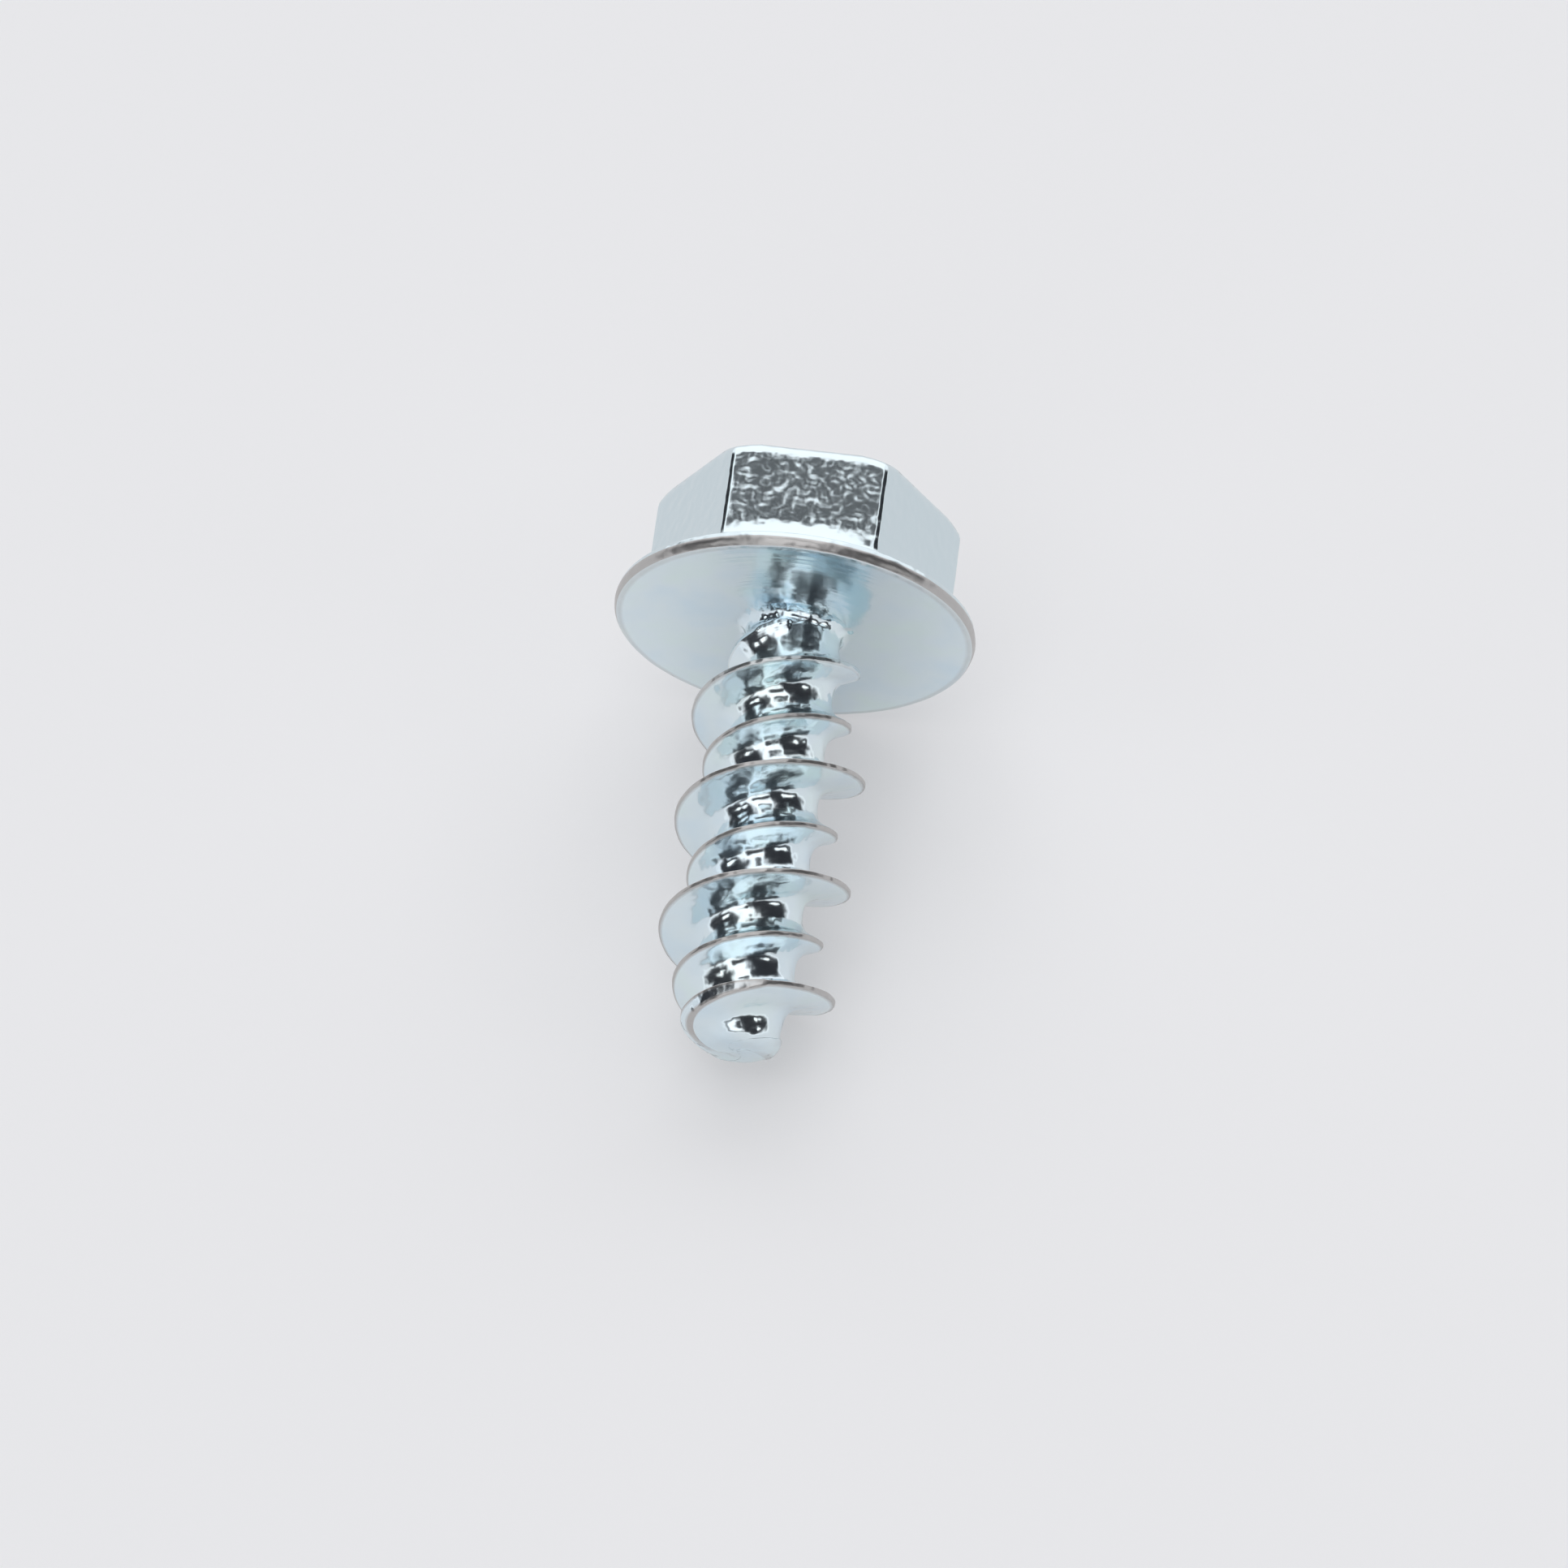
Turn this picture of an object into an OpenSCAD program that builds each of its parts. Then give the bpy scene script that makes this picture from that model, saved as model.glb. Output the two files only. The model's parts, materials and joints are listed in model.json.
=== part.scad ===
// Hex washer head screw with a two-start high and low thread, lying on a table.
// All sizes are in millimetres. The screw is one solid, cold formed from one blank.
//
// Local frame of every module: the axis on Z, the bearing face under the flange at z = 0,
// the tip at z = length and the head on the minus side. Local Y points up from the table.
// lay_down() turns the finished screw into the pose it rests in, with the table at z = 0.

/* [Head] */
// Distance across the flats of the hexagon
hex_af = 6.35; // [5.6:0.05:6.6]
// Head height, from the bearing face to the top of the hexagon
head_h = 3.35; // [2.6:0.05:4]
// Bevel along the top edges of the hexagon
top_bevel = 0.18; // [0.1:0.01:0.3]
// How far the top cone trims each corner of the hexagon
corner_trim = 0.26; // [0.15:0.01:0.5]
// Diameter of the shallow round indent in the top
dish_d = 4.4; // [3:0.1:4.6]
// Depth of that indent
dish_depth = 0.35; // [0.1:0.05:0.6]
// Turn of the hexagon about the axis as the screw lies
hex_turn = -2; // [-30:1:30]

/* [Flange] */
// Outer diameter of the washer flange
flange_d = 8.67; // [8.4:0.01:9.4]
// Thickness of the flange at its rim
rim_t = 0.43; // [0.3:0.01:0.6]
// Softened edge on both sides of the rim
rim_edge = 0.1; // [0.04:0.01:0.13]
// Rise of the flange's top from the rim to the hexagon
flange_rise = 0.3; // [0.1:0.01:0.4]
// Height of the sloping skirt between the flange and the faces of the hexagon
skirt_h = 0.35; // [0.1:0.01:0.5]
// Spread of that skirt over the flange
skirt_w = 0.42; // [0.1:0.01:0.5]

/* [Shank] */
// Length under the bearing face
length = 11; // [9:0.1:16]
// Diameter of the core between the threads
core_d = 2.28; // [2:0.02:2.6]
// Fillet between the bearing face and the shank
neck_fillet = 0.26; // [0.15:0.01:0.35]
// Diameter of the core where the rounding of the tip begins
tip_d = 1.94; // [1.5:0.02:2]
// Rounding of the blunt tip
tip_round = 0.42; // [0.2:0.01:0.5]
// Length over which the core narrows to that rounding
tip_taper = 1.3; // [0.8:0.1:2]

/* [Thread] */
// Crest diameter of the high thread
high_d = 4.37; // [4:0.01:4.8]
// Crest diameter of the low thread
low_d = 3.42; // [3:0.01:3.7]
// Lead, two starts: the way forward in one turn
lead = 2.84; // [2.4:0.02:3.2]
// Included angle of the high thread's flanks
high_angle = 30; // [24:1:36]
// Included angle of the low thread's flanks
low_angle = 56; // [45:1:60]
// Width of the flat on the high crest
high_crest = 0.13; // [0.06:0.01:0.2]
// Width of the flat on the low crest
low_crest = 0.12; // [0.06:0.01:0.2]
// Distance from the bearing face to a high crest on the +X side
crest_start = 0.98; // [0.3:0.02:1.6]
// Length over which both threads grow from the neck
run_in = 2.3; // [1:0.1:3]
// Distance from the tip at which the high thread starts to fall
run_out_from = 0.95; // [0.6:0.05:1.5]
// Length over which the high thread would fall to the core
run_out = 1.35; // [0.8:0.05:2.5]
// How much earlier the low thread runs out than the high one
low_early = 0.6; // [0.4:0.05:1]

/* [Hidden] */
plating = [0.78, 0.82, 0.85];
hex_r = hex_af / 2 / cos(30);
// Radius of the top that the bevels and the corner cone leave
top_r = min(hex_af / 2 - top_bevel, hex_r - corner_trim / tan(30));
flange_r = flange_d / 2;
core_r = core_d / 2;
tip_r = tip_d / 2;
// The neck stands just proud of the core, so the shank leaves it through its flat end
neck_r = core_r + 0.02;
columns = 48;
arc_steps = 4;
tip_steps = 4;
// Where the rounding of the tip begins
round_from = length - tip_round;
// Where the thread grid begins, inside the neck, and where it meets the last rings of the tip
shank_from = neck_fillet - 0.12;
shank_to = length - tip_round * 0.3;
// Thread points closer than this to either end are merged into the ring there
merge_gap = 0.04;

// Heights of the two ridges over the core, and their half widths where they rise from it
high_rise = high_d / 2 - core_r;
low_rise = low_d / 2 - core_r;
high_base = high_crest / 2 + high_rise * tan(high_angle / 2);
low_base = low_crest / 2 + low_rise * tan(low_angle / 2);
// Width of each root, the bare core between two ridges
root = lead / 2 - high_base - low_base;

// One lead of the thread's section: distance from the high crest, height over the core,
// and how much earlier that ridge runs out
section = [
    [-high_base, 0, 0],
    [-high_crest / 2, high_rise, 0],
    [high_crest / 2, high_rise, 0],
    [high_base, 0, 0],
    [high_base + root / 3, 0, 0],
    [high_base + root * 2 / 3, 0, 0],
    [lead / 2 - low_base, 0, low_early],
    [lead / 2 - low_crest / 2, low_rise, low_early],
    [lead / 2 + low_crest / 2, low_rise, low_early],
    [lead / 2 + low_base, 0, low_early],
    [lead / 2 + low_base + root / 3, 0, 0],
    [lead / 2 + low_base + root * 2 / 3, 0, 0],
];
rows_per_lead = len(section);
first_lead = floor((shank_from - crest_start) / lead) - 2;
leads = ceil((shank_to - crest_start) / lead) - first_lead + 2;
rows = rows_per_lead * leads;

function clamp01(v) = min(1, max(0, v));
// How far a height z has gone over the rounding of the tip, from 0 to 1
function over_tip(z) = clamp01((z - round_from) / tip_round);
function roundness(z) = sqrt(1 - pow(over_tip(z), 2));
// Share of its full height that a ridge has near the head, and near the tip
function grown(z) = sqrt(clamp01((z - neck_fillet) / run_in));
function left_over(z) = clamp01(1 - (z - length + run_out_from) / run_out) * roundness(z);
// Height over the core of the section's point j, at the distance z from the bearing face
function ridge(j, z) = section[j][1] * min(grown(z), left_over(z + section[j][2]));
// Radius of the core, narrowed towards the tip and then rounded off
function narrowed(z) = core_r + (tip_r - core_r) * clamp01((z - round_from + tip_taper) / tip_taper);
function core_at(z) = narrowed(z) - tip_round * (1 - roundness(z));
function turn(i) = 360 * i / columns;
function ring_point(r, i, z) = [r * cos(turn(i)), r * sin(turn(i)), z];

// Radius of the skin anywhere, read between the points of the section
function skin_r(i, z) =
    let (
        u = z - crest_start - lead * i / columns,
        w = u - lead * floor((u + high_base) / lead),
        heights = [for (j = [0:rows_per_lead]) [
            section[j % rows_per_lead][0] + lead * floor(j / rows_per_lead),
            ridge(j % rows_per_lead, z)
        ]]
    )
    core_at(z) + lookup(w, heights);

// Row k of the thread grid follows one line of the section round the helix
function row_z(k, i) =
    let (turns = first_lead + floor(k / rows_per_lead) + i / columns)
    crest_start + lead * turns + section[k % rows_per_lead][0];
function row_point(k, i) =
    let (z = row_z(k, i))
    ring_point(core_at(z) + ridge(k % rows_per_lead, z), i, z);

start_ring = [for (i = [0:columns - 1]) ring_point(core_r, i, shank_from)];
tip_rings = [
    for (m = [0:tip_steps])
        let (z = shank_to + (length - shank_to) * sin(90 * m / tip_steps))
        for (i = [0:columns - 1]) ring_point(skin_r(i, z), i, z)
];
tip_centre = [[0, 0, length]];
grid = [for (k = [0:rows - 1]) for (i = [0:columns - 1]) row_point(k, i)];
shank_points = concat(start_ring, tip_rings, tip_centre, grid);
tip_first = columns;
centre_index = tip_first + columns * (tip_steps + 1);

// Index of a grid point. Points past either end fall on the ring there.
function grid_index(k, i) =
    i == columns ? grid_index(k + rows_per_lead, 0)
    : row_z(k, i) < shank_from + merge_gap ? i
    : row_z(k, i) > shank_to - merge_gap ? tip_first + i
    : centre_index + 1 + k * columns + i;
function tip_index(m, i) = tip_first + m * columns + i % columns;
function two_triangles(a, b, c, d) = [[a, d, c], [a, c, b]];
function distinct(t) = t[0] != t[1] && t[1] != t[2] && t[2] != t[0];

shank_faces = concat(
    [[for (i = [0:columns - 1]) i]],
    [for (k = [0:rows - 2]) for (i = [0:columns - 1])
        for (t = two_triangles(
            grid_index(k, i), grid_index(k, i + 1), grid_index(k + 1, i + 1), grid_index(k + 1, i)
        ))
            if (distinct(t)) t],
    [for (m = [0:tip_steps - 1]) for (i = [0:columns - 1])
        for (t = two_triangles(
            tip_index(m, i), tip_index(m, i + 1), tip_index(m + 1, i + 1), tip_index(m + 1, i)
        )) t],
    [for (i = [0:columns - 1]) [tip_index(tip_steps, i), centre_index, tip_index(tip_steps, i + 1)]]
);

// The rest pose: the tip drops until a crest touches the table that the rim stands on
resting_points = concat(tip_rings, [for (p = grid) if (p.z > 1 && p.z < shank_to) p]);
rest_tilt = min([for (p = resting_points) atan((flange_r + p.y) / (p.z + rim_edge))]);
lift = flange_r * cos(rest_tilt) - rim_edge * sin(rest_tilt);
front_y = min([for (p = resting_points) -p.y * sin(rest_tilt) - p.z * cos(rest_tilt)]);
back_y = top_r * sin(rest_tilt) + head_h * cos(rest_tilt);

// Points along a quarter circle, as [r, z], turning with step 1 or back with step -1
function quarter(centre, radius, from, step) =
    [for (s = [0:arc_steps])
        let (a = from + step * 90 * s / arc_steps)
        centre + radius * [cos(a), sin(a)]];

// Flange with its rim, the bearing face and the filleted neck, turned round the axis
module flange() {
    top = -rim_t - flange_rise;
    color(plating)
        rotate_extrude($fn = 120)
            polygon(concat(
                [[0, top], [hex_af / 2, top]],
                [[flange_r - rim_edge, -rim_t], [flange_r, -rim_t + rim_edge]],
                quarter([flange_r - rim_edge, -rim_edge], rim_edge, 0, 1),
                quarter([neck_r + neck_fillet, neck_fillet], neck_fillet, 270, -1),
                [[0, neck_fillet]]
            ));
}

// Hexagonal column with the skirt that spreads onto the flange
module hex_column() {
    foot = rim_t * 0.85;
    skirt_top = rim_t + flange_rise + skirt_h;
    // The skirt's wide end stays inside the rim, and its narrow end inside the column
    spread = min(skirt_w, flange_r - rim_edge - hex_r - 0.05);
    overlap = 0.2;
    slope = spread / (skirt_top - foot);
    union() {
        translate([0, 0, -head_h])
            cylinder(r = hex_r, h = head_h - foot, $fn = 6);
        translate([0, 0, -skirt_top - overlap])
            cylinder(r1 = hex_r - slope * overlap, r2 = hex_r + spread, h = skirt_top + overlap - foot, $fn = 6);
    }
}

// Hexagonal pyramid that leaves the 45 degree bevels on the top edges
module bevel_pyramid() {
    narrow = hex_af / 2 - top_bevel;
    reach = head_h + 1;
    translate([0, 0, -head_h])
        cylinder(r1 = narrow / cos(30), r2 = (narrow + reach) / cos(30), h = reach, $fn = 6);
}

// Cone that trims the corners of the hexagon at its top
module corner_cone() {
    wide = hex_r + 1;
    rotate_extrude($fn = 120)
        polygon([
            [0, 0],
            [wide, 0],
            [wide, -head_h + corner_trim + (wide - hex_r) * tan(30)],
            [0, -head_h + corner_trim - hex_r * tan(30)],
        ]);
}

// Shallow round indent with a sloping wall, sunk into the top
module indent() {
    floor_z = -head_h + dish_depth;
    above = 0.2;
    rotate_extrude($fn = 120)
        polygon([
            [0, floor_z],
            [dish_d / 2 - 2 * dish_depth, floor_z],
            [dish_d / 2 + 2 * above, -head_h - above],
            [0, -head_h - above],
        ]);
}

// Hexagon with its skirt, bevelled top edges, trimmed corners and the indent
module hexagon() {
    color(plating)
        rotate([0, 0, hex_turn])
            difference() {
                intersection() {
                    hex_column();
                    bevel_pyramid();
                    corner_cone();
                }
                indent();
            }
}

// Core, both threads and the blunt tip as one closed skin
module shank() {
    color(plating)
        polyhedron(points = shank_points, faces = shank_faces, convexity = 10);
}

// Turns the screw so that it rests on its rim and on a crest near the tip
module lay_down() {
    translate([0, -(front_y + back_y) / 2, lift])
        rotate([90 + rest_tilt, 0, 0])
            children();
}

module screw() {
    lay_down()
        union() {
            flange();
            hexagon();
            shank();
        }
}

screw();
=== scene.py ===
import json
import math

import bpy
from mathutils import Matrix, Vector, noise


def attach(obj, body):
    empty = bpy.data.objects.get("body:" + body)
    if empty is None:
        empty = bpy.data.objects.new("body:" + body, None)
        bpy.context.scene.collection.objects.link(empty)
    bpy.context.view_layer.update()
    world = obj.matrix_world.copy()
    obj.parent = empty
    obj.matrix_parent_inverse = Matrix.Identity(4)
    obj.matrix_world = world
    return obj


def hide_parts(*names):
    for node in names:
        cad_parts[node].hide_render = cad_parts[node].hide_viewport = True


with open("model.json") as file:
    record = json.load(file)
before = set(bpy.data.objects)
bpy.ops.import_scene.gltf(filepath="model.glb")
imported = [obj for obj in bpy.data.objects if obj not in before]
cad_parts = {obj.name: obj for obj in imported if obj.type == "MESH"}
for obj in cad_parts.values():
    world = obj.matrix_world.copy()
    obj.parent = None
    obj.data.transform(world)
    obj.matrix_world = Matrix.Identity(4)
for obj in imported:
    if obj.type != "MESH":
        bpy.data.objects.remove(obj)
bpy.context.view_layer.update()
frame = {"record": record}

# Hex washer head screw with a two-start high and low thread, in bright zinc plating.
# Lengths are in millimetres and angles in degrees until place() turns points into metres.
# Local frame: the axis on Z, the bearing face at z = 0, the tip at z = LENGTH, Y up.
MM = 0.001

# Sizes of the head, as in the part's source
HEX_AF = 6.35
HEAD_H = 3.35
TOP_BEVEL = 0.18
CORNER_TRIM = 0.26
DISH_D = 4.4
DISH_DEPTH = 0.35
HEX_TURN = -2
FLANGE_D = 8.67
RIM_T = 0.43
RIM_EDGE = 0.1
FLANGE_RISE = 0.3
SKIRT_H = 0.35
SKIRT_W = 0.42
# Height of the skirt's foot as a share of the rim's
SKIRT_FOOT = 0.85

# Sizes of the shank and of its two threads
LENGTH = 11
CORE_D = 2.28
NECK_FILLET = 0.26
TIP_D = 1.94
TIP_ROUND = 0.42
TIP_TAPER = 1.3
HIGH_D = 4.37
LOW_D = 3.42
LEAD = 2.84
HIGH_ANGLE = 30
LOW_ANGLE = 56
HIGH_CREST = 0.13
LOW_CREST = 0.12
CREST_START = 0.98
RUN_IN = 2.3
RUN_OUT_FROM = 0.95
RUN_OUT = 1.35
LOW_EARLY = 0.3

# Small roundings that the finished screw has on its edges
CORNER_ROUND = 0.16
EDGE_ROUND = 0.07
DISH_ROUND = 0.14
TOP_ROUND = 0.2
SKIRT_ROUND = 0.25
CREST_ROUND = 0.035
FOOT_ROUND = 0.27
# How much wider the rounding of a crest is where the ridge has run out
WORN_ROUND = 0.1
# The rim bulges: how far its two edges lie inside its widest line, and how high that line is
RIM_BULGE = 0.045
RIM_WIDEST = 0.19
# How far the skirt's foot goes from a hexagon to a circle
SKIRT_EVEN = 0.62
# Lean of a crest that is cut off low, and how quickly such a crest widens and loses its wear
CREST_LEAN = 25
WIDENING = 0.6
WEAR_LOSS = 4
# How much longer the edges of such a crest stay worn
EDGE_WEAR = 2
# Depth and length of the waves that forming leaves in the skin, and of the dents in the shank
WAVE_DEPTH = 0.014
WAVE_LENGTH = 0.75
DENT_DEPTH = 0.022
DENT_LENGTH = 0.36
# Depth of the turned marks in the bearing face, and the (rate, shift) that make them up
MARK_DEPTH = 0.003
MARK_WAVES = ((19, 0), (13.3, 1), (8.7, 2))

# Finish of each kind of surface: how worn its plating is, and how dimpled
HEAD = (0, 0.42)
RIM_TOP = (0.1, 0.4)
RIM_UPPER = (0, 0.4)
RIM = (1, 0.4)
RIM_FOOT = (0.4, 0.6)
BEARING = (0, 0.05)
NECK = (0, 1)
CORE = (0, 0.4)
FLANK = (0, 0.25)
CREST_DIMPLES = 0.8

# How finely the skin is divided
SIDES = 6
CORNER_STEPS = 6
FLAT_STEPS = 28
COLUMNS = SIDES * (CORNER_STEPS + FLAT_STEPS)
ROUND_STEPS = 4
DISH_STEPS = 4
TOP_STEPS = 5
FACE_STEPS = 20
FLANGE_STEPS = 4
RIM_STEPS = 2
BEARING_STEPS = 34
FILLET_STEPS = 8
ROOT_STEPS = 4
CREST_STEPS = 4
HIGH_FLANK_STEPS = 9
LOW_FLANK_STEPS = 6
END_RING_R = 0.05
MERGE_GAP = 0.012
# Longest share of a side that a rounded corner takes, and the flatness of the bearing face
CORNER_SHARE = 0.45
LEVEL = 0.001

hex_apothem = HEX_AF / 2
hex_r = hex_apothem / math.cos(math.radians(30))
flange_r = FLANGE_D / 2
core_r = CORE_D / 2
tip_r = TIP_D / 2
round_from = LENGTH - TIP_ROUND
# Distances along the skin of the core: where the rounding ends and where the end face is closed
round_to = round_from + TIP_ROUND * math.pi / 2
skin_end = round_to + tip_r - TIP_ROUND - END_RING_R


def clamp01(value):
    return min(1.0, max(0.0, value))


def mix(a, b, share):
    return a + (b - a) * share


def unit(angle):
    return Vector((math.cos(math.radians(angle)), math.sin(math.radians(angle))))


def between(a, b, steps):
    """The points that divide a straight line into equal steps, without its two ends."""
    return [a.lerp(b, k / steps) for k in range(1, steps)]


def soft_corner(before, corner, after, reach):
    """A short curve that takes the place of a corner, reaching at most that far from it."""
    to_before = before - corner
    to_after = after - corner
    start = corner + to_before.normalized() * min(reach, to_before.length * CORNER_SHARE)
    end = corner + to_after.normalized() * min(reach, to_after.length * CORNER_SHARE)
    points = []
    for k in range(ROUND_STEPS + 1):
        t = k / ROUND_STEPS
        points.append(start * (1 - t) ** 2 + corner * (2 * t * (1 - t)) + end * t ** 2)
    return points


def softened(before, corners, straights, after):
    """The points along a line with rounded corners, and the finish of each point.

    corners holds (corner, reach, finish), and straights the (steps, finish) of each part between
    two of them. before and after are the line's ends, which aren't among the points.
    """
    line = [before] + [corner for corner, _, _ in corners] + [after]
    profile = []
    finish = []
    for k, (corner, reach, corner_finish) in enumerate(corners):
        curve = soft_corner(line[k], corner, line[k + 2], reach)
        if k > 0:
            steps, straight_finish = straights[k - 1]
            straight = between(profile[-1], curve[0], steps)
            profile += straight
            finish += [straight_finish] * len(straight)
        profile += curve
        finish += [corner_finish] * len(curve)
    return profile, finish


# The columns of the skin: the radius and the direction of the hexagon at each of them
def hexagon_columns():
    columns = []
    flat_half = (hex_apothem - CORNER_ROUND) * math.tan(math.radians(30))
    for side in range(SIDES):
        corner_angle = HEX_TURN + 60 * side
        centre = unit(corner_angle) * (hex_apothem - CORNER_ROUND) / math.cos(math.radians(30))
        for step in range(CORNER_STEPS):
            columns.append(centre + unit(corner_angle - 30 + 60 * step / CORNER_STEPS) * CORNER_ROUND)
        for step in range(FLAT_STEPS):
            across = flat_half * (2 * step / FLAT_STEPS - 1)
            columns.append(unit(corner_angle + 30) * hex_apothem + unit(corner_angle + 120) * across)
    return columns


hex_columns = hexagon_columns()
first_angle = math.degrees(math.atan2(hex_columns[0].y, hex_columns[0].x))
even_angles = [first_angle + 360 * i / COLUMNS for i in range(COLUMNS)]
hex_angles = []
for i, spot in enumerate(hex_columns):
    angle = math.degrees(math.atan2(spot.y, spot.x))
    hex_angles.append(angle + 360 * round((even_angles[i] - angle) / 360))


# The head: one profile of [radius, height over the bearing face] for each column
def head_profile(face_r):
    """From the edge of the dish's floor over the top, the hexagon and the flange to the neck."""
    skirt_top = RIM_T + FLANGE_RISE + SKIRT_H
    foot = RIM_T * SKIRT_FOOT
    skirt_slope = SKIRT_W / (skirt_top - foot) * face_r / hex_r
    rim_in = flange_r - RIM_EDGE
    flange_slope = FLANGE_RISE / (rim_in - hex_apothem)
    # Where the sloping skirt meets the top of the flange
    seam_h = skirt_top - RIM_T - flange_slope * rim_in
    seam_r = (face_r + seam_h * skirt_slope) / (1 - flange_slope * skirt_slope)
    even_seam_r = seam_r * hex_apothem / face_r
    seam_r = mix(seam_r, even_seam_r, SKIRT_EVEN)
    seam = Vector((seam_r, RIM_T + flange_slope * (rim_in - seam_r)))
    cone_r = hex_r - CORNER_TRIM / math.tan(math.radians(30))
    cone_edge = HEAD_H - CORNER_TRIM + (hex_r - face_r) * math.tan(math.radians(30))
    dish_floor = Vector((DISH_D / 2 - 2 * DISH_DEPTH, HEAD_H - DISH_DEPTH))
    dish_edge = Vector((DISH_D / 2, HEAD_H))
    top_edge = Vector((min(face_r * (1 - TOP_BEVEL / hex_apothem), cone_r), HEAD_H))
    face_top = Vector((face_r, min(HEAD_H - TOP_BEVEL, cone_edge)))
    face_foot = Vector((face_r, skirt_top))
    rim_top = Vector((rim_in, RIM_T))
    rim_upper = Vector((flange_r - RIM_BULGE, RIM_T - RIM_EDGE / 2))
    rim_widest = Vector((flange_r, RIM_WIDEST))
    rim_lower = Vector((flange_r - RIM_BULGE, RIM_EDGE / 2))
    rim_foot = Vector((rim_in, 0))
    neck_out = Vector((core_r + NECK_FILLET, 0))
    dish_centre = Vector((0, HEAD_H - DISH_DEPTH))

    fillet = []
    for k in range(FILLET_STEPS):
        turned = unit(90 + 90 * k / FILLET_STEPS)
        fillet.append(Vector((neck_out.x, -NECK_FILLET)) + turned * NECK_FILLET)

    corners = [
        (dish_floor, DISH_ROUND, HEAD),
        (dish_edge, EDGE_ROUND, HEAD),
        (top_edge, TOP_ROUND, HEAD),
        (face_top, TOP_ROUND, HEAD),
        (face_foot, SKIRT_ROUND, HEAD),
        (seam, SKIRT_ROUND, HEAD),
        (rim_top, EDGE_ROUND, RIM_TOP),
        (rim_upper, EDGE_ROUND, RIM_UPPER),
        (rim_widest, EDGE_ROUND, RIM),
        (rim_lower, EDGE_ROUND, RIM),
        (rim_foot, EDGE_ROUND, RIM_FOOT),
    ]
    straights = [
        (DISH_STEPS, HEAD),
        (TOP_STEPS, HEAD),
        (1, HEAD),
        (FACE_STEPS, HEAD),
        (1, HEAD),
        (FLANGE_STEPS, HEAD),
        (1, RIM_UPPER),
        (RIM_STEPS, RIM_UPPER),
        (RIM_STEPS, RIM),
        (1, RIM),
    ]
    outside, finish = softened(dish_centre, corners, straights, neck_out)
    dish = between(dish_centre, outside[0], DISH_STEPS)
    underside = between(outside[-1], neck_out, BEARING_STEPS)
    profile = dish + outside + underside + fillet
    finish = [HEAD] * len(dish) + finish + [BEARING] * len(underside) + [NECK] * len(fillet)
    return profile, finish


# The core: a line along its skin from the neck, round the tip and over the end face to the axis
def core_skin(s):
    """The [radius, z] at a distance s along the skin."""
    if s < round_from:
        taper = clamp01((s - round_from + TIP_TAPER) / TIP_TAPER)
        return Vector((mix(core_r, tip_r, taper), s))
    if s < round_to:
        turned = unit(math.degrees((s - round_from) / TIP_ROUND))
        return Vector((tip_r - TIP_ROUND, round_from)) + turned * TIP_ROUND
    return Vector((tip_r - TIP_ROUND - (s - round_to), LENGTH))


def grown(s):
    """Share of its full height that a ridge has reached after the neck."""
    return math.sqrt(clamp01((s - NECK_FILLET) / RUN_IN))


def left_over(s, early):
    """Share of its full height that a ridge still has towards the tip."""
    return clamp01(1 - (s + early - LENGTH + RUN_OUT_FROM) / RUN_OUT) * tip_fade(s)


def tip_fade(s):
    return math.cos(clamp01((s - round_from) / (round_to - round_from)) * math.pi / 2)


def ridge_profile(crest, rise, angle, risen, left, flank_steps):
    """Points [along, height] over one ridge, with their finish.

    A ridge that is still rising is a lower copy of itself. One that runs out is cut off lower,
    so its crest widens, and it leans so that the tip side is lower.
    """
    slope = math.tan(math.radians(angle / 2))
    foot_out = crest / 2 + rise * slope
    top_out = crest / 2 + rise * slope * (1 - left) ** WIDENING
    height = rise * min(risen, left)
    lean = min(2 * top_out * math.tan(math.radians(CREST_LEAN)), rise) * (1 - left) * left
    edge_reach = CREST_ROUND + WORN_ROUND * (1 - left)
    head_foot = Vector((-foot_out, 0))
    head_top = Vector((-top_out, height))
    tip_top = Vector((top_out, height - lean))
    tip_foot = Vector((foot_out, 0))
    crest_finish = (clamp01(1 - WEAR_LOSS * (1 - left)) * risen ** 2, CREST_DIMPLES)
    edge_finish = (clamp01(EDGE_WEAR * left) * risen ** 2, CREST_DIMPLES)
    corners = [
        (head_foot, FOOT_ROUND, CORE),
        (head_top, edge_reach, edge_finish),
        (tip_top, edge_reach, edge_finish),
        (tip_foot, FOOT_ROUND, CORE),
    ]
    straights = [(flank_steps, FLANK), (CREST_STEPS, crest_finish), (flank_steps, FLANK)]
    return softened(Vector((-LEAD, 0)), corners, straights, Vector((LEAD, 0)))


def thread_section(turns):
    """Rows of one lead of both threads, and their finish. A row is [distance along the skin, height]."""
    high_at = CREST_START + LEAD * turns
    low_at = high_at + LEAD / 2
    high_rise = HIGH_D / 2 - core_r
    low_rise = LOW_D / 2 - core_r
    high, high_finish = ridge_profile(
        HIGH_CREST, high_rise, HIGH_ANGLE, grown(high_at), left_over(high_at, 0), HIGH_FLANK_STEPS,
    )
    low, low_finish = ridge_profile(
        LOW_CREST, low_rise, LOW_ANGLE, grown(low_at), left_over(low_at, LOW_EARLY), LOW_FLANK_STEPS,
    )
    high_rows = [point + Vector((high_at, 0)) for point in high]
    low_rows = [point + Vector((low_at, 0)) for point in low]
    next_high = high_rows[0] + Vector((LEAD, 0))
    rows = high_rows + between(high_rows[-1], low_rows[0], ROOT_STEPS)
    rows += low_rows + between(low_rows[-1], next_high, ROOT_STEPS)
    root_finish = [CORE] * (ROOT_STEPS - 1)
    return rows, high_finish + root_finish + low_finish + root_finish


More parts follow.
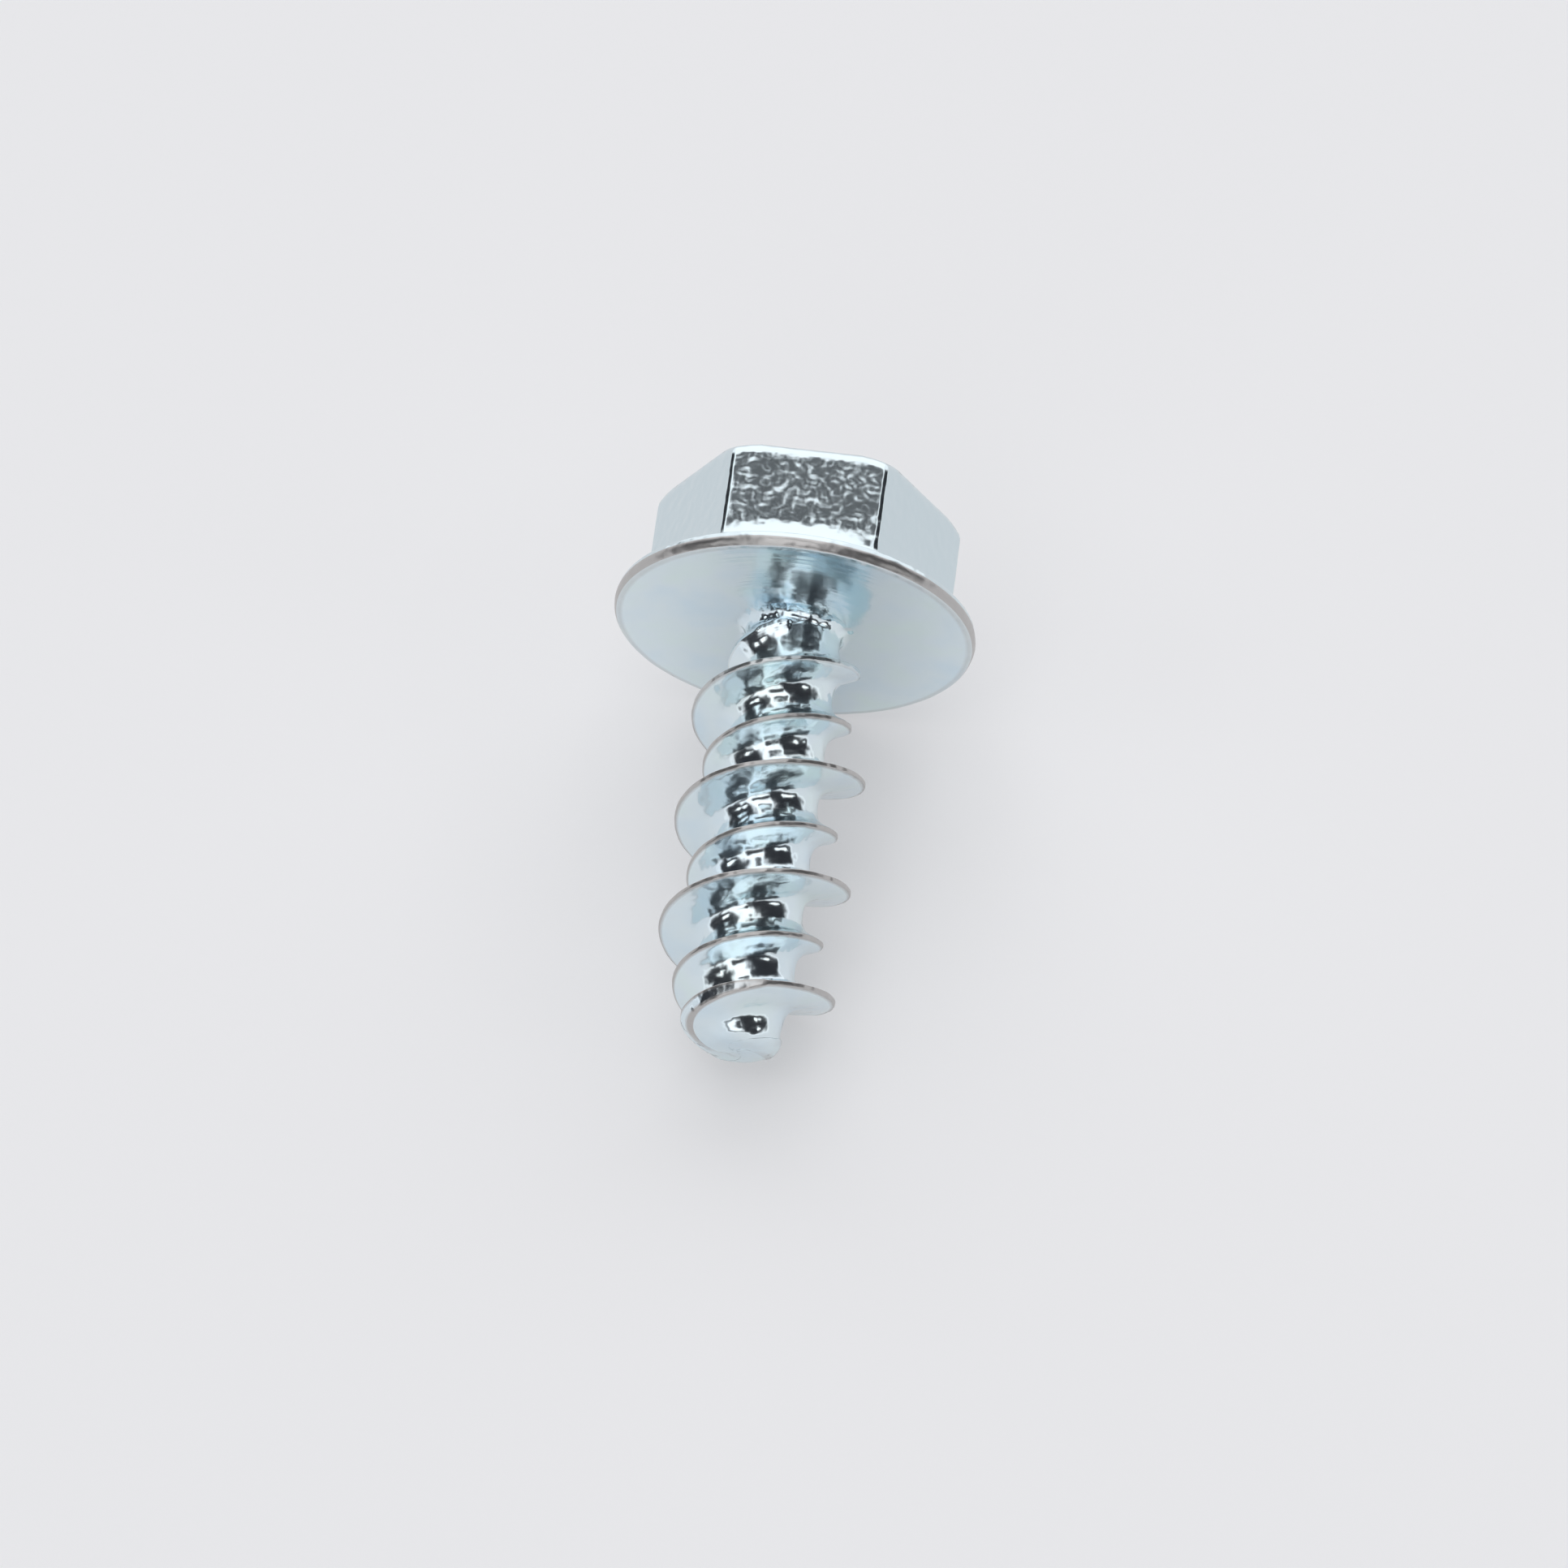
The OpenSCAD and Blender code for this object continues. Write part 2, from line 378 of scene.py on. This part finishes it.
# The skin of the whole screw as one closed mesh, with the (wear, dimples) of each point
points = []
finishes = []
faces = []


def add_point(radius, angle, z, finish):
    spot = unit(angle) * radius
    points.append(Vector((spot.x, spot.y, z)))
    finishes.append(finish)
    return len(points) - 1


def add_face(*corners):
    kept = [c for k, c in enumerate(corners) if c != corners[k - 1]]
    if len(set(kept)) >= 3:
        faces.append(kept)


def build_head():
    """Adds the head's grid. Returns its last ring, where the core begins."""
    profiles = [head_profile(spot.length) for spot in hex_columns]
    row_finishes = profiles[0][1]
    even_from = len(row_finishes) - FILLET_STEPS - BEARING_STEPS
    top_centre = add_point(0, 0, -HEAD_H + DISH_DEPTH, row_finishes[0])
    rings = []
    for row, finish in enumerate(row_finishes):
        share = clamp01((row - even_from) / BEARING_STEPS)
        ring = []
        for i in range(COLUMNS):
            spot = profiles[i][0][row]
            angle = mix(hex_angles[i], even_angles[i], share)
            ring.append(add_point(spot.x, angle, -spot.y, finish))
        rings.append(ring)
    rings.append([add_point(core_r, angle, NECK_FILLET, row_finishes[-1]) for angle in even_angles])
    for i in range(COLUMNS):
        after = (i + 1) % COLUMNS
        add_face(top_centre, rings[0][after], rings[0][i])
        for lower, upper in zip(rings, rings[1:]):
            add_face(lower[i], lower[after], upper[after], upper[i])
    return rings[-1]


def build_shank(neck_ring):
    """Adds rows that follow the helix, from the neck's ring to the middle of the end face."""
    end_ring = [add_point(END_RING_R, angle, LENGTH, CORE) for angle in even_angles]
    end_centre = add_point(0, 0, LENGTH, CORE)
    first_lead = math.floor((NECK_FILLET - CREST_START) / LEAD) - 2
    last_lead = math.ceil((skin_end - CREST_START) / LEAD) + 1
    rows = []
    for lead in range(first_lead, last_lead):
        sections = [thread_section(lead + angle / 360) for angle in even_angles]
        rows_per_lead = len(sections[0][0])
        for row in range(rows_per_lead):
            ring = []
            for i, (section, section_finish) in enumerate(sections):
                along, height = section[row]
                if along < NECK_FILLET + MERGE_GAP:
                    ring.append(neck_ring[i])
                elif along > skin_end - MERGE_GAP:
                    ring.append(end_ring[i])
                else:
                    spot = core_skin(along)
                    radius = spot.x + height * tip_fade(along)
                    ring.append(add_point(radius, even_angles[i], spot.y, section_finish[row]))
            rows.append(ring)
    # A row that has gone once round carries on as the row one lead further
    for k in range(len(rows) - 1 - rows_per_lead):
        here = rows[k] + [rows[k + rows_per_lead][0]]
        above = rows[k + 1] + [rows[k + 1 + rows_per_lead][0]]
        for i in range(COLUMNS):
            add_face(here[i], here[i + 1], above[i + 1], above[i])
    for i in range(COLUMNS):
        add_face(end_ring[i], end_ring[(i + 1) % COLUMNS], end_centre)


build_shank(build_head())

# Place of the screw, from the mount on its bearing face
bearing = next(m for m in frame["record"]["mounts"] if m["name"] == "bearing_face")
bearing_centre = Vector(bearing["pos_m"])
axis = Vector(bearing["axis"]).normalized()
sideways = Vector((1, 0, 0))
upward = axis.cross(sideways)


def place(spot):
    return bearing_centre + (sideways * spot.x + upward * spot.y + axis * spot.z) * MM


def is_bearing(spot):
    from_axis = math.hypot(spot.x, spot.y)
    return abs(spot.z) < LEVEL and core_r + NECK_FILLET < from_axis < flange_r - RIM_EDGE


def turned_marks(from_axis):
    """Depth share of the faint rings that the forming die's own turning leaves."""
    waves = sum(math.sin(from_axis * rate + shift) for rate, shift in MARK_WAVES)
    return 0.5 + waves / (2 * len(MARK_WAVES))


def sunk_by(spot, dimpled):
    """How deep the skin lies under its true form, which it never stands out of."""
    depth = WAVE_DEPTH * (0.5 + 0.5 * noise.noise(spot / WAVE_LENGTH))
    if spot.z > 0:
        depth += DENT_DEPTH * dimpled * (0.5 + 0.5 * noise.noise(spot / DENT_LENGTH))
    if is_bearing(spot):
        depth += MARK_DEPTH * turned_marks(math.hypot(spot.x, spot.y))
    return depth


mesh = bpy.data.meshes.new("screw_skin")
mesh.from_pydata(points, [], faces)
sunk = []
for vertex, (_, dimpled) in zip(mesh.vertices, finishes):
    spot = vertex.co.copy()
    sunk.append(spot - vertex.normal * sunk_by(spot, dimpled))
for vertex, spot in zip(mesh.vertices, sunk):
    vertex.co = place(spot)

# What the plating needs to know about each point
point_values = {
    "worn": [worn for worn, _ in finishes],
    "dimpled": [dimpled for _, dimpled in finishes],
    "on_head": [float(spot.z < -RIM_T / 2) for spot in points],
    "from_axis": [math.hypot(spot.x, spot.y) for spot in points],
    "bearing": [float(is_bearing(spot)) for spot in points],
}
for name, values in point_values.items():
    mesh.attributes.new(name, "FLOAT", "POINT").data.foreach_set("value", values)
mesh.validate()
mesh.shade_smooth()
screw = bpy.data.objects.new("screw_skin", mesh)
bpy.context.scene.collection.objects.link(screw)


# Materials
def add_node(tree, kind, values, **settings):
    """Adds a node. values holds its inputs by name: a socket to link from, or a plain value."""
    made = tree.nodes.new(kind)
    for name, value in settings.items():
        setattr(made, name, value)
    for name, value in values.items():
        if isinstance(value, bpy.types.NodeSocket):
            tree.links.new(value, made.inputs[name])
        else:
            made.inputs[name].default_value = value
    return made


def ramp_between(tree, factor, stops):
    """Colours at places along a factor."""
    made = add_node(tree, "ShaderNodeValToRGB", {"Fac": factor})
    marks = made.color_ramp.elements
    while len(marks) < len(stops):
        marks.new(0.5)
    for mark, (position, color) in zip(marks, stops):
        mark.position = position
        mark.color = (*color, 1)
    return made.outputs["Color"]


def mixed(tree, kind, factor, a, b):
    """Mixes two colours or two numbers."""
    made = tree.nodes.new("ShaderNodeMix")
    made.data_type = kind
    sockets = [s for s in made.inputs if s.enabled]
    for socket, value in zip(sockets, (factor, a, b)):
        if isinstance(value, bpy.types.NodeSocket):
            tree.links.new(value, socket)
        else:
            socket.default_value = value
    return next(s for s in made.outputs if s.enabled)


# Noise scales a mm, and heights of the bumps in mm
DIMPLE_SCALE = 3.6
DIMPLE_HEIGHT = 0.08
GRAIN_SCALE = 9.0
GRAIN_HEIGHT = 0.003
TURNED_SCALE = 7.0
TURNED_HEIGHT = 0.003
CLOUD_SCALE = 0.7
# Colours of the passivation, of the head and of worn metal, with the roughness of both finishes
FILM_STOPS = [
    (0.3, (0.70, 0.82, 0.89)),
    (0.5, (0.75, 0.845, 0.885)),
    (0.7, (0.75, 0.86, 0.86)),
]
HEAD_COLOR = (0.66, 0.755, 0.79, 1)
WORN_COLOR = (0.52, 0.51, 0.50, 1)
PLATED_ROUGHNESS = 0.17
WORN_ROUGHNESS = 0.36


def zinc_plating():
    """Bright zinc with a pale blue passivation: slightly dimpled, and worn grey on edges."""
    material = bpy.data.materials.new("zinc_plating")
    material.use_nodes = True
    tree = material.node_tree
    shader = tree.nodes["Principled BSDF"]
    shader.inputs["Metallic"].default_value = 1.0
    coordinates = add_node(tree, "ShaderNodeTexCoord", {})
    in_mm = add_node(
        tree, "ShaderNodeMapping",
        {"Vector": coordinates.outputs["Object"], "Scale": (1 / MM, 1 / MM, 1 / MM)},
    ).outputs["Vector"]
    worn, dimpled, on_head, from_axis, bearing_face = [
        add_node(tree, "ShaderNodeAttribute", {}, attribute_name=name).outputs["Fac"]
        for name in ("worn", "dimpled", "on_head", "from_axis", "bearing")
    ]

    # Dimples all over, a finer grain, and turned marks on the bearing face
    dimples = add_node(
        tree, "ShaderNodeTexNoise",
        {"Vector": in_mm, "Scale": DIMPLE_SCALE, "Detail": 0.6, "Roughness": 0.4},
    ).outputs["Fac"]
    fine = add_node(
        tree, "ShaderNodeTexNoise",
        {"Vector": in_mm, "Scale": GRAIN_SCALE, "Detail": 2.0},
    ).outputs["Fac"]
    marks = add_node(
        tree, "ShaderNodeTexNoise",
        {"W": from_axis, "Scale": TURNED_SCALE, "Detail": 2.0},
        noise_dimensions="1D",
    ).outputs["Fac"]
    dimple_bump = add_node(
        tree, "ShaderNodeBump",
        {"Height": dimples, "Distance": DIMPLE_HEIGHT * MM, "Strength": dimpled},
    ).outputs["Normal"]
    fine_bump = add_node(
        tree, "ShaderNodeBump",
        {"Height": fine, "Distance": GRAIN_HEIGHT * MM, "Strength": dimpled, "Normal": dimple_bump},
    ).outputs["Normal"]
    marked_bump = add_node(
        tree, "ShaderNodeBump",
        {
            "Height": marks,
            "Distance": TURNED_HEIGHT * MM,
            "Strength": bearing_face,
            "Normal": fine_bump,
        },
    ).outputs["Normal"]
    tree.links.new(marked_bump, shader.inputs["Normal"])

    # Passivation that varies between blue and a faint green, and grey metal where it is worn
    cloud = add_node(
        tree, "ShaderNodeTexNoise",
        {"Vector": in_mm, "Scale": CLOUD_SCALE, "Detail": 2.0},
    ).outputs["Fac"]
    film = ramp_between(tree, cloud, FILM_STOPS)
    plated = mixed(tree, "RGBA", on_head, film, HEAD_COLOR)
    color = mixed(tree, "RGBA", worn, plated, WORN_COLOR)
    tree.links.new(color, shader.inputs["Base Color"])
    roughness = mixed(tree, "FLOAT", worn, PLATED_ROUGHNESS, WORN_ROUGHNESS)
    tree.links.new(roughness, shader.inputs["Roughness"])
    return material


# Colour of the table and the part of its paleness that is only seen
TABLE_COLOR = (0.46, 0.46, 0.464, 1)
TABLE_GLOW = (0.487, 0.489, 0.501, 1)
# Reach in metres, depth and samples of the shade that this paleness takes near the screw
SHADE_REACH = 0.008
SHADE_DEPTH = 0.3
SHADE_SAMPLES = 3


def table_top():
    """Pale table. Part of its paleness is seen, directly or in metal, but lights nothing."""
    material = bpy.data.materials.new("table_top")
    material.use_nodes = True
    tree = material.node_tree
    shader = tree.nodes["Principled BSDF"]
    shader.inputs["Base Color"].default_value = TABLE_COLOR
    shader.inputs["Roughness"].default_value = 0.9
    shader.inputs["Specular IOR Level"].default_value = 0.1
    shader.inputs["Emission Color"].default_value = TABLE_GLOW
    path = add_node(tree, "ShaderNodeLightPath", {})
    seen = path.outputs["Is Camera Ray"]
    for ray in ("Is Glossy Ray", "Is Transmission Ray"):
        seen = add_node(
            tree, "ShaderNodeMath", {0: seen, 1: path.outputs[ray]}, operation="MAXIMUM",
        ).outputs["Value"]
    open_share = add_node(
        tree, "ShaderNodeAmbientOcclusion", {"Distance": SHADE_REACH}, samples=SHADE_SAMPLES,
    ).outputs["AO"]
    shade = add_node(
        tree, "ShaderNodeMath",
        {0: open_share, 1: SHADE_DEPTH, 2: 1 - SHADE_DEPTH},
        operation="MULTIPLY_ADD",
    ).outputs["Value"]
    shown = add_node(
        tree, "ShaderNodeMath", {0: seen, 1: shade}, operation="MULTIPLY",
    ).outputs["Value"]
    tree.links.new(shown, shader.inputs["Emission Strength"])
    material.cycles.emission_sampling = "NONE"
    return material


mesh.materials.append(zinc_plating())
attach(screw, "root")
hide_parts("screw")

# Table
TABLE_HALF = 1.5
floor_mesh = bpy.data.meshes.new("table")
floor_corners = [(-1, -1, 0), (1, -1, 0), (1, 1, 0), (-1, 1, 0)]
floor_mesh.from_pydata([Vector(c) * TABLE_HALF for c in floor_corners], [], [(0, 1, 2, 3)])
floor_mesh.materials.append(table_top())
floor = bpy.data.objects.new("table", floor_mesh)
bpy.context.scene.collection.objects.link(floor)

# Camera: azimuth and elevation as the photograph looks at the bearing face
PHOTO_PX = 1932
BEARING_PX = Vector((977.8, 779.0))
CAMERA_AZIMUTH = 7.25
CAMERA_ELEVATION = 49.16
CAMERA_DISTANCE = 200
PX_PER_MM = 51.92
SENSOR = 36

turn = unit(CAMERA_AZIMUTH)
climb = unit(CAMERA_ELEVATION)
back = Vector((turn.y * climb.x, -turn.x * climb.x, climb.y))
image_right = Vector((turn.x, turn.y, 0))
image_up = back.cross(image_right)
aim_px = Vector((PHOTO_PX / 2 - BEARING_PX.x, BEARING_PX.y - PHOTO_PX / 2))
aim = bearing_centre + (image_right * aim_px.x + image_up * aim_px.y) / PX_PER_MM * MM
camera_data = bpy.data.cameras.new("camera")
camera_data.sensor_width = SENSOR
camera_data.lens = SENSOR * CAMERA_DISTANCE * PX_PER_MM / PHOTO_PX
camera_data.clip_start = 0.01
camera_data.clip_end = 10
camera = bpy.data.objects.new("camera", camera_data)
camera.location = bearing_centre + back * CAMERA_DISTANCE * MM
camera.rotation_mode = "QUATERNION"
camera.rotation_quaternion = (aim - camera.location).to_track_quat("-Z", "Y")
bpy.context.scene.collection.objects.link(camera)
bpy.context.scene.camera = camera


# Light: lamps at a distance in metres from the screw
LAMP_DISTANCE = 1.0
LAMP_RADIANCE = 1.6


def toward(azimuth, elevation):
    """Direction from the screw. Azimuth 0 is in front, and positive to the right."""
    level = unit(azimuth) * math.cos(math.radians(elevation))
    return Vector((level.y, -level.x, math.sin(math.radians(elevation))))


def soft_box(name, azimuth, elevation, width, height):
    """A lamp panel turned towards the screw. Its width and height are angles."""
    data = bpy.data.lights.new(name, "AREA")
    data.shape = "RECTANGLE"
    data.size = 2 * LAMP_DISTANCE * math.tan(math.radians(width / 2))
    data.size_y = 2 * LAMP_DISTANCE * math.tan(math.radians(height / 2))
    data.energy = LAMP_RADIANCE * math.pi * data.size * data.size_y
    lamp = bpy.data.objects.new(name, data)
    lamp.location = toward(azimuth, elevation) * LAMP_DISTANCE
    lamp.rotation_mode = "QUATERNION"
    lamp.rotation_quaternion = (-lamp.location).to_track_quat("-Z", "Y")
    bpy.context.scene.collection.objects.link(lamp)


soft_box("left_box", -66, 38, 22, 12)
soft_box("right_box", 73, 27, 18, 12)

# Room: dark, with low pale walls, a pale wall behind the head and a long light panel overhead.
# The panel runs from the front to the back. It has a gap where the top hexagon face looks, and
# the camera stands dark before it.
ROOM_COLOR = (1.0, 1.0, 1.02)
DARK_COLOR = (0.024, 0.024, 0.028)
PANEL_COLOR = (1.16, 1.16, 1.18)
ROOM_STRENGTH = 1.2
WHITE = (1, 1, 1)
BLACK = (0, 0, 0)
# Where each part of the room begins and ends, as heights, sideways places and cosines of angles
BACK_WALL_FROM = 0.60
BACK_WALL_FULL = 0.74
WALL_FULL = 0.05
WALL_END = 0.16
PANEL_MIDDLE = -0.07
PANEL_FULL = 0.30
PANEL_EDGE = 0.42
PANEL_FOOT = 0.20
PANEL_FOOT_FULL = 0.32
GAP_EDGE = 0.982
GAP_FULL = 0.992
CAMERA_EDGE = 0.9659
CAMERA_FULL = 0.9816
TOP_FACE_ANGLE = HEX_TURN + 90
top_face = sideways * unit(TOP_FACE_ANGLE).x + upward * unit(TOP_FACE_ANGLE).y
gap = top_face * (2 * top_face.dot(back)) - back
world = bpy.data.worlds.new("room")
world.use_nodes = True
room = world.node_tree
look = add_node(room, "ShaderNodeTexCoord", {}).outputs["Generated"]
headward, gapward, cameraward = [
    add_node(
        room, "ShaderNodeVectorMath", {0: look, 1: way}, operation="DOT_PRODUCT",
    ).outputs["Value"]
    for way in (-axis, gap, back)
]
directions = add_node(room, "ShaderNodeSeparateXYZ", {"Vector": look}).outputs
from_middle = add_node(
    room, "ShaderNodeMath", {0: directions["X"], 1: PANEL_MIDDLE}, operation="SUBTRACT",
).outputs["Value"]
aside = add_node(room, "ShaderNodeMath", {0: from_middle}, operation="ABSOLUTE").outputs["Value"]

behind = ramp_between(room, headward, [(BACK_WALL_FROM, DARK_COLOR), (BACK_WALL_FULL, ROOM_COLOR)])
wall_share = ramp_between(room, directions["Z"], [(WALL_FULL, WHITE), (WALL_END, BLACK)])
walls = mixed(room, "RGBA", wall_share, behind, (*ROOM_COLOR, 1))
panel_share = ramp_between(room, aside, [(PANEL_FULL, WHITE), (PANEL_EDGE, BLACK)])
for share in (
    ramp_between(room, directions["Z"], [(PANEL_FOOT, BLACK), (PANEL_FOOT_FULL, WHITE)]),
    ramp_between(room, gapward, [(GAP_EDGE, WHITE), (GAP_FULL, BLACK)]),
    ramp_between(room, cameraward, [(CAMERA_EDGE, WHITE), (CAMERA_FULL, BLACK)]),
):
    panel_share = add_node(
        room, "ShaderNodeMath", {0: panel_share, 1: share}, operation="MULTIPLY",
    ).outputs["Value"]
surroundings = mixed(room, "RGBA", panel_share, walls, (*PANEL_COLOR, 1))
room.links.new(surroundings, room.nodes["Background"].inputs["Color"])
room.nodes["Background"].inputs["Strength"].default_value = ROOM_STRENGTH
bpy.context.scene.world = world
bpy.context.scene.view_settings.view_transform = "Standard"
